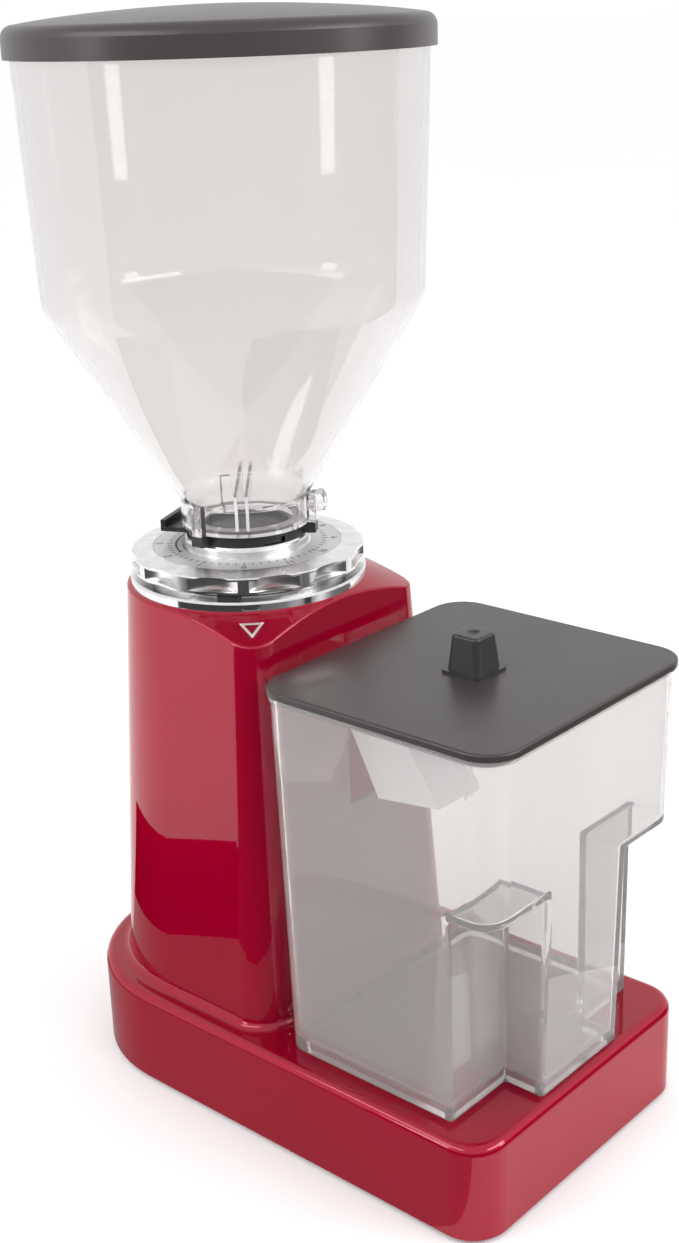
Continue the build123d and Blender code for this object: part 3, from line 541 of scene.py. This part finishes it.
@dataclass
class Softbox:
    """One rectangular studio light, aimed at a point."""

    name: str
    place: Vector
    aim: Vector
    size: tuple[float, float]
    power: float

    def build(self) -> None:
        """Adds the light to the scene."""
        data = bpy.data.lights.new(self.name, "AREA")
        data.shape = "RECTANGLE"
        data.size, data.size_y = self.size
        data.energy = self.power
        light = bpy.data.objects.new(self.name, data)
        light.location = self.place
        light.rotation_euler = (self.aim - self.place).to_track_quat("-Z", "Y").to_euler()
        light.visible_camera = False
        bpy.context.scene.collection.objects.link(light)


@dataclass
class Surround:
    """A sector just over the floor, with a wall at its far side, that only reflections see: a painted
    reflection, dark or grey, standing in for shade around the grinder.
    """

    name: str
    near: float
    far: float
    start: float
    end: float
    level: float
    wall: float = 0.0
    height: float = 2.0 * MM
    steps: int = 36

    def build(self) -> None:
        """Adds the sector to the scene."""
        mesh = bmesh.new()
        outline = [Vector((self.near, 0.0, self.height)), Vector((self.far, 0.0, self.height))]
        if self.wall:
            outline.append(Vector((self.far, 0.0, self.wall)))
        corners = [mesh.verts.new(corner) for corner in outline]
        edges = [mesh.edges.new(pair) for pair in zip(corners, corners[1:])]
        turn = Matrix.Rotation(math.radians(self.start), 3, "Z")
        bmesh.ops.rotate(mesh, cent=(0.0, 0.0, 0.0), matrix=turn, verts=corners)
        bmesh.ops.spin(mesh, geom=[*corners, *edges], axis=(0.0, 0.0, 1.0), cent=(0.0, 0.0, 0.0),
                       angle=math.radians(self.end - self.start), steps=self.steps)
        data = bpy.data.meshes.new(self.name)
        mesh.to_mesh(data)
        mesh.free()
        card = bpy.data.objects.new(self.name, data)
        bpy.context.scene.collection.objects.link(card)
        # Painted reflection: the card shows this flat grey or black only in reflections, standing in for
        # the shaded floor and dark surroundings.
        glow = (self.level, self.level, self.level)
        data.materials.append(Graph(self.name).surface(
            Base_Color=(0.0, 0.0, 0.0), Roughness=1.0, Specular_IOR_Level=0.0,
            Emission_Color=glow, Emission_Strength=1.0))
        for way in ("camera", "diffuse", "transmission", "volume_scatter", "shadow"):
            setattr(card, f"visible_{way}", False)


@dataclass
class Studio:
    """Pale floor, soft lights and the camera."""

    lens: float = 50.05
    place: Vector = field(default_factory=lambda: Vector((-0.5507, -0.4983, 0.4959)))
    pitch: float = -0.3456
    yaw: float = 0.8394
    roll: float = -0.0349
    sensor: float = 36.0
    clip: tuple[float, float] = (0.02, 200.0)
    floor_half: float = 30.0
    middle: Vector = field(default_factory=lambda: Vector((0.0, 0.0, 0.2)))
    ambient: float = 1.02
    strip: tuple[float, float] = (1.6, 0.35)
    short_strip: tuple[float, float] = (1.4, 0.35)
    window: tuple[float, float] = (0.30, 0.60)
    window_distance: float = 1.6
    window_height: float = 0.66
    window_power: float = 3.0

    def build(self) -> None:
        """Builds the floor, the surroundings, the lights and the camera."""
        self.build_floor()
        self.build_surroundings()
        fittings = (
            Softbox("left_strip", Vector((-1.3, 0.3, 1.3)), self.middle, self.strip, power=8.0),
            Softbox("front_strip", Vector((0.4, -1.5, 1.1)), self.middle, self.short_strip, power=12.0),
            self.window_at("left_window", 156.0),
            self.window_at("right_window", 297.0),
            # Painted reflections: camera_side and left_gap are dark sheets where reflections should look
            # dark; left_foot is a grey glow standing in for the shaded floor beside the base.
            Surround("camera_side", near=0.25, far=2.4, start=150.0, end=335.0, level=0.06, wall=0.55),
            Surround("left_gap", near=0.25, far=0.40, start=95.0, end=150.0, level=0.0),
            Surround("left_foot", near=0.06, far=0.25, start=95.0, end=235.0, level=0.40),
        )
        for fitting in fittings:
            fitting.build()
        self.build_camera()

    def window_at(self, name: str, azimuth: float) -> Softbox:
        """A tall window light.

        Args:
            name: the light's name.
            azimuth: the side it stands on, in degrees from the x axis.

        Returns:
            The light, aimed at the middle of the object.
        """
        turn, distance = math.radians(azimuth), self.window_distance
        place = Vector((distance * math.cos(turn), distance * math.sin(turn), self.window_height))
        return Softbox(name, place, self.middle, self.window, self.window_power)

    def build_floor(self) -> None:
        """Adds the pale floor."""
        mesh = bmesh.new()
        bmesh.ops.create_grid(mesh, x_segments=1, y_segments=1, size=self.floor_half)
        data = bpy.data.meshes.new("floor")
        mesh.to_mesh(data)
        mesh.free()
        floor = bpy.data.objects.new("floor", data)
        bpy.context.scene.collection.objects.link(floor)
        graph = Graph("floor_paper")
        tone = graph.noise(3.0, 2.0)
        color = graph.blend(tone, (0.96, 0.96, 0.96), (0.985, 0.985, 0.985))
        data.materials.append(graph.surface(Base_Color=color, Roughness=0.9))

    def build_surroundings(self) -> None:
        """Sets the even light all round."""
        world = bpy.data.worlds.new("studio")
        world.use_nodes = True
        background = world.node_tree.nodes["Background"]
        background.inputs["Color"].default_value = (1.0, 1.0, 1.0, 1.0)
        background.inputs["Strength"].default_value = self.ambient
        bpy.context.scene.world = world

    def build_camera(self) -> None:
        """Adds the camera at the viewing angle."""
        ahead = Vector((
            math.cos(self.pitch) * math.sin(self.yaw),
            math.cos(self.pitch) * math.cos(self.yaw),
            math.sin(self.pitch),
        ))
        level = Vector((math.cos(self.yaw), -math.sin(self.yaw), 0.0))
        upright = level.cross(ahead)
        right = math.cos(self.roll) * level + math.sin(self.roll) * upright
        up = math.cos(self.roll) * upright - math.sin(self.roll) * level
        turn = Matrix((right, up, -ahead)).transposed().to_4x4()
        data = bpy.data.cameras.new("view")
        data.lens = self.lens
        data.sensor_width = self.sensor
        data.clip_start, data.clip_end = self.clip
        camera = bpy.data.objects.new("view", data)
        camera.matrix_world = Matrix.Translation(self.place) @ turn
        bpy.context.scene.collection.objects.link(camera)
        bpy.context.scene.camera = camera


# --------------------------------------------------------------------------- the grinder


@dataclass
class CarriedNodes:
    """The CAD nodes that are shown as they are, each in its slot's finish."""

    slots: dict[str, str] = field(default_factory=lambda: {
        part["node"]: part["material_slot"] for part in frame["record"]["subparts"]
    })

    def dress(self) -> None:
        """Gives every CAD node its finish."""
        for node, slot in self.slots.items():
            finish = NODE_FINISHES.get(node, FINISHES[slot])
            finish.dress(frame["nodes"][node])
            LOG.info("%s: %s", node, finish.slot)


@dataclass
class IndexMark:
    """The white triangular outline that the dial is read against."""

    turn: float = math.radians(45)
    slope: float = math.radians(-24)
    point: float = math.radians(90)
    size: tuple[float, float] = (6.4 * MM, 6.5 * MM)
    corner: float = 0.5 * MM
    line: float = 1.25 * MM
    thickness: float = 0.3 * MM

    def build(self) -> None:
        """Builds the outline in place of the solid mark."""
        low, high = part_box("pointer_mark")
        mesh = bmesh.new()
        bmesh.ops.create_circle(mesh, cap_ends=True, segments=3, radius=1.0)
        turn = Matrix.Rotation(self.point, 3, "Z")
        bmesh.ops.rotate(mesh, cent=(0.0, 0.0, 0.0), matrix=turn, verts=mesh.verts)
        bmesh.ops.scale(mesh, vec=(*self.size, 1.0), verts=mesh.verts)
        bmesh.ops.bevel(mesh, geom=mesh.verts[:], offset=self.corner, segments=3, profile=0.5,
                        affect="VERTICES", material=-1)
        middle = mesh.faces[:]
        bmesh.ops.inset_region(mesh, faces=middle, thickness=self.line, use_boundary=True,
                               use_even_offset=True)
        bmesh.ops.delete(mesh, geom=middle, context="FACES")
        bmesh.ops.solidify(mesh, geom=mesh.faces[:], thickness=self.thickness)
        bmesh.ops.recalc_face_normals(mesh, faces=mesh.faces[:])
        centre = (Vector(low) + Vector(high)) / 2
        place = Matrix.Translation(centre) @ Matrix.Rotation(self.turn, 4, "Z")
        place = place @ Matrix.Rotation(self.slope, 4, "Y")
        bmesh.ops.transform(mesh, matrix=place, verts=mesh.verts)
        mark = piece_from("index_mark", mesh, "white_mark", "frame")
        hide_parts("pointer_mark")


def add_box(mesh: bmesh.types.BMesh, size: Vector, place: Matrix) -> None:
    """Adds a box of that size, centred where place puts the origin."""
    bmesh.ops.create_cube(mesh, size=1.0, matrix=place @ Matrix.Diagonal((*size, 1.0)))


def add_text(mesh: bmesh.types.BMesh, text: str, height: float, thickness: float,
             place: Matrix) -> None:
    """Adds raised figures, centred where place puts the origin.

    Args:
        mesh: the mesh that they go into.
        text: the figures.
        height: their height.
        thickness: how far they stand proud.
        place: their plane, x along the line of text.
    """
    curve = bpy.data.curves.new("figures", "FONT")
    curve.body = text
    curve.size = height / FIGURE_SHARE
    curve.extrude = thickness / 2
    curve.align_x, curve.align_y = "CENTER", "CENTER"
    curve.resolution_u = 3
    holder = bpy.data.objects.new("figures", curve)
    flat = bpy.data.meshes.new_from_object(holder)
    flat.transform(place)
    mesh.from_mesh(flat)
    bpy.data.meshes.remove(flat)
    bpy.data.objects.remove(holder)
    bpy.data.curves.remove(curve)


@dataclass
class DialScale:
    """Printed scale on the dial: figures, divisions and the turning arrow."""

    figures: int = 12
    divisions: int = 5
    figure_radius: float = 41.2 * MM
    figure_height: float = 3.4 * MM
    tick_radius: float = 36.4 * MM
    tick_length: float = 1.8 * MM
    tick_width: float = 0.55 * MM
    long_tick: float = 1.6
    ink: float = 0.06 * MM
    start: float = math.radians(222)
    arrow_radius: float = 33.4 * MM
    arrow_width: float = 0.8 * MM
    arrow_head: float = 1.5 * MM
    arrow_from: float = math.radians(104)
    arrow_sweep: float = math.radians(52)
    arrow_steps: int = 26
    overlap: float = 1.05

    @cached_property
    def centre(self) -> Vector:
        """The middle of the printed layer, on the scale ring's top."""
        low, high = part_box("dial_scale_ring")
        return Vector(((low[0] + high[0]) / 2, (low[1] + high[1]) / 2, high[2] + self.ink / 2))

    def build(self) -> None:
        """Builds the marks on the scale ring."""
        mesh = bmesh.new()
        for figure in range(self.figures):
            angle = self.start - 2 * math.pi * figure / self.figures
            place = self.spoke(angle, self.figure_radius) @ Matrix.Rotation(math.pi / 2, 4, "Z")
            add_text(mesh, str(figure), self.figure_height, self.ink, place)
            for division in range(self.divisions):
                part = angle - 2 * math.pi * division / (self.figures * self.divisions)
                length = self.tick_length * (1.0 if division else self.long_tick)
                size = Vector((length, self.tick_width, self.ink))
                add_box(mesh, size, self.spoke(part, self.tick_radius))
        self.add_arrow(mesh)
        piece_from("dial_marks", mesh, "black_plastic", "dial")

    def spoke(self, angle: float, radius: float) -> Matrix:
        """The place at a radius and angle on the scale, x pointing outwards."""
        outwards = Matrix.Rotation(angle, 4, "Z") @ Matrix.Translation((radius, 0, 0))
        return Matrix.Translation(self.centre) @ outwards

    def add_arrow(self, mesh: bmesh.types.BMesh) -> None:
        """Adds the curved arrow, with a head at its front end.

        Args:
            mesh: the mesh that it goes into.
        """
        step = self.arrow_sweep / self.arrow_steps
        bar = Vector((self.arrow_width, self.arrow_radius * step * self.overlap, self.ink))
        for index in range(self.arrow_steps):
            add_box(mesh, bar, self.spoke(self.arrow_from + index * step, self.arrow_radius))
        tip = self.spoke(self.arrow_from + self.arrow_sweep, self.arrow_radius)
        tip = tip @ Matrix.Rotation(math.pi / 2, 4, "Z")
        bmesh.ops.create_cone(mesh, cap_ends=True, segments=3, radius1=self.arrow_head,
                              radius2=self.arrow_head, depth=self.ink, matrix=tip)


@dataclass
class SwitchMarks:
    """The I and O moulded into the rocker."""

    pivot_inset: float = 4.5 * MM
    face: float = 7.64 * MM
    offset: float = 5.0 * MM
    height: float = 4.0 * MM
    ink: float = 0.08 * MM
    pressed: float = math.radians(-16)

    def build(self) -> None:
        """Builds both marks on the rocker's two faces."""
        low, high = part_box("power_rocker")
        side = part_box("housing_base")[1][0]
        pivot = Vector((side - self.pivot_inset, (low[1] + high[1]) / 2, (low[2] + high[2]) / 2))
        mesh = bmesh.new()
        upright = Matrix(((0, 0, 1, 0), (1, 0, 0, 0), (0, 1, 0, 0), (0, 0, 0, 1)))
        for text, turn, shift in (("O", 0.0, -self.offset), ("I", self.pressed, self.offset)):
            place = Matrix.Translation(pivot) @ Matrix.Rotation(turn, 4, "Z")
            place = place @ Matrix.Translation((self.face, shift, 0.0)) @ upright
            add_text(mesh, text, self.height, self.ink, place)
        piece_from("rocker_marks", mesh, "white_mark", "rocker")


def main() -> None:
    """Builds the studio and the grinder, piece by piece."""
    logging.basicConfig(level=logging.INFO, format="%(message)s")
    bpy.context.scene.view_settings.view_transform = "Standard"
    Studio().build()
    CarriedNodes().dress()
    for part in (IndexMark(), DialScale(), SwitchMarks()):
        part.build()


if __name__ == "__main__":
    main()
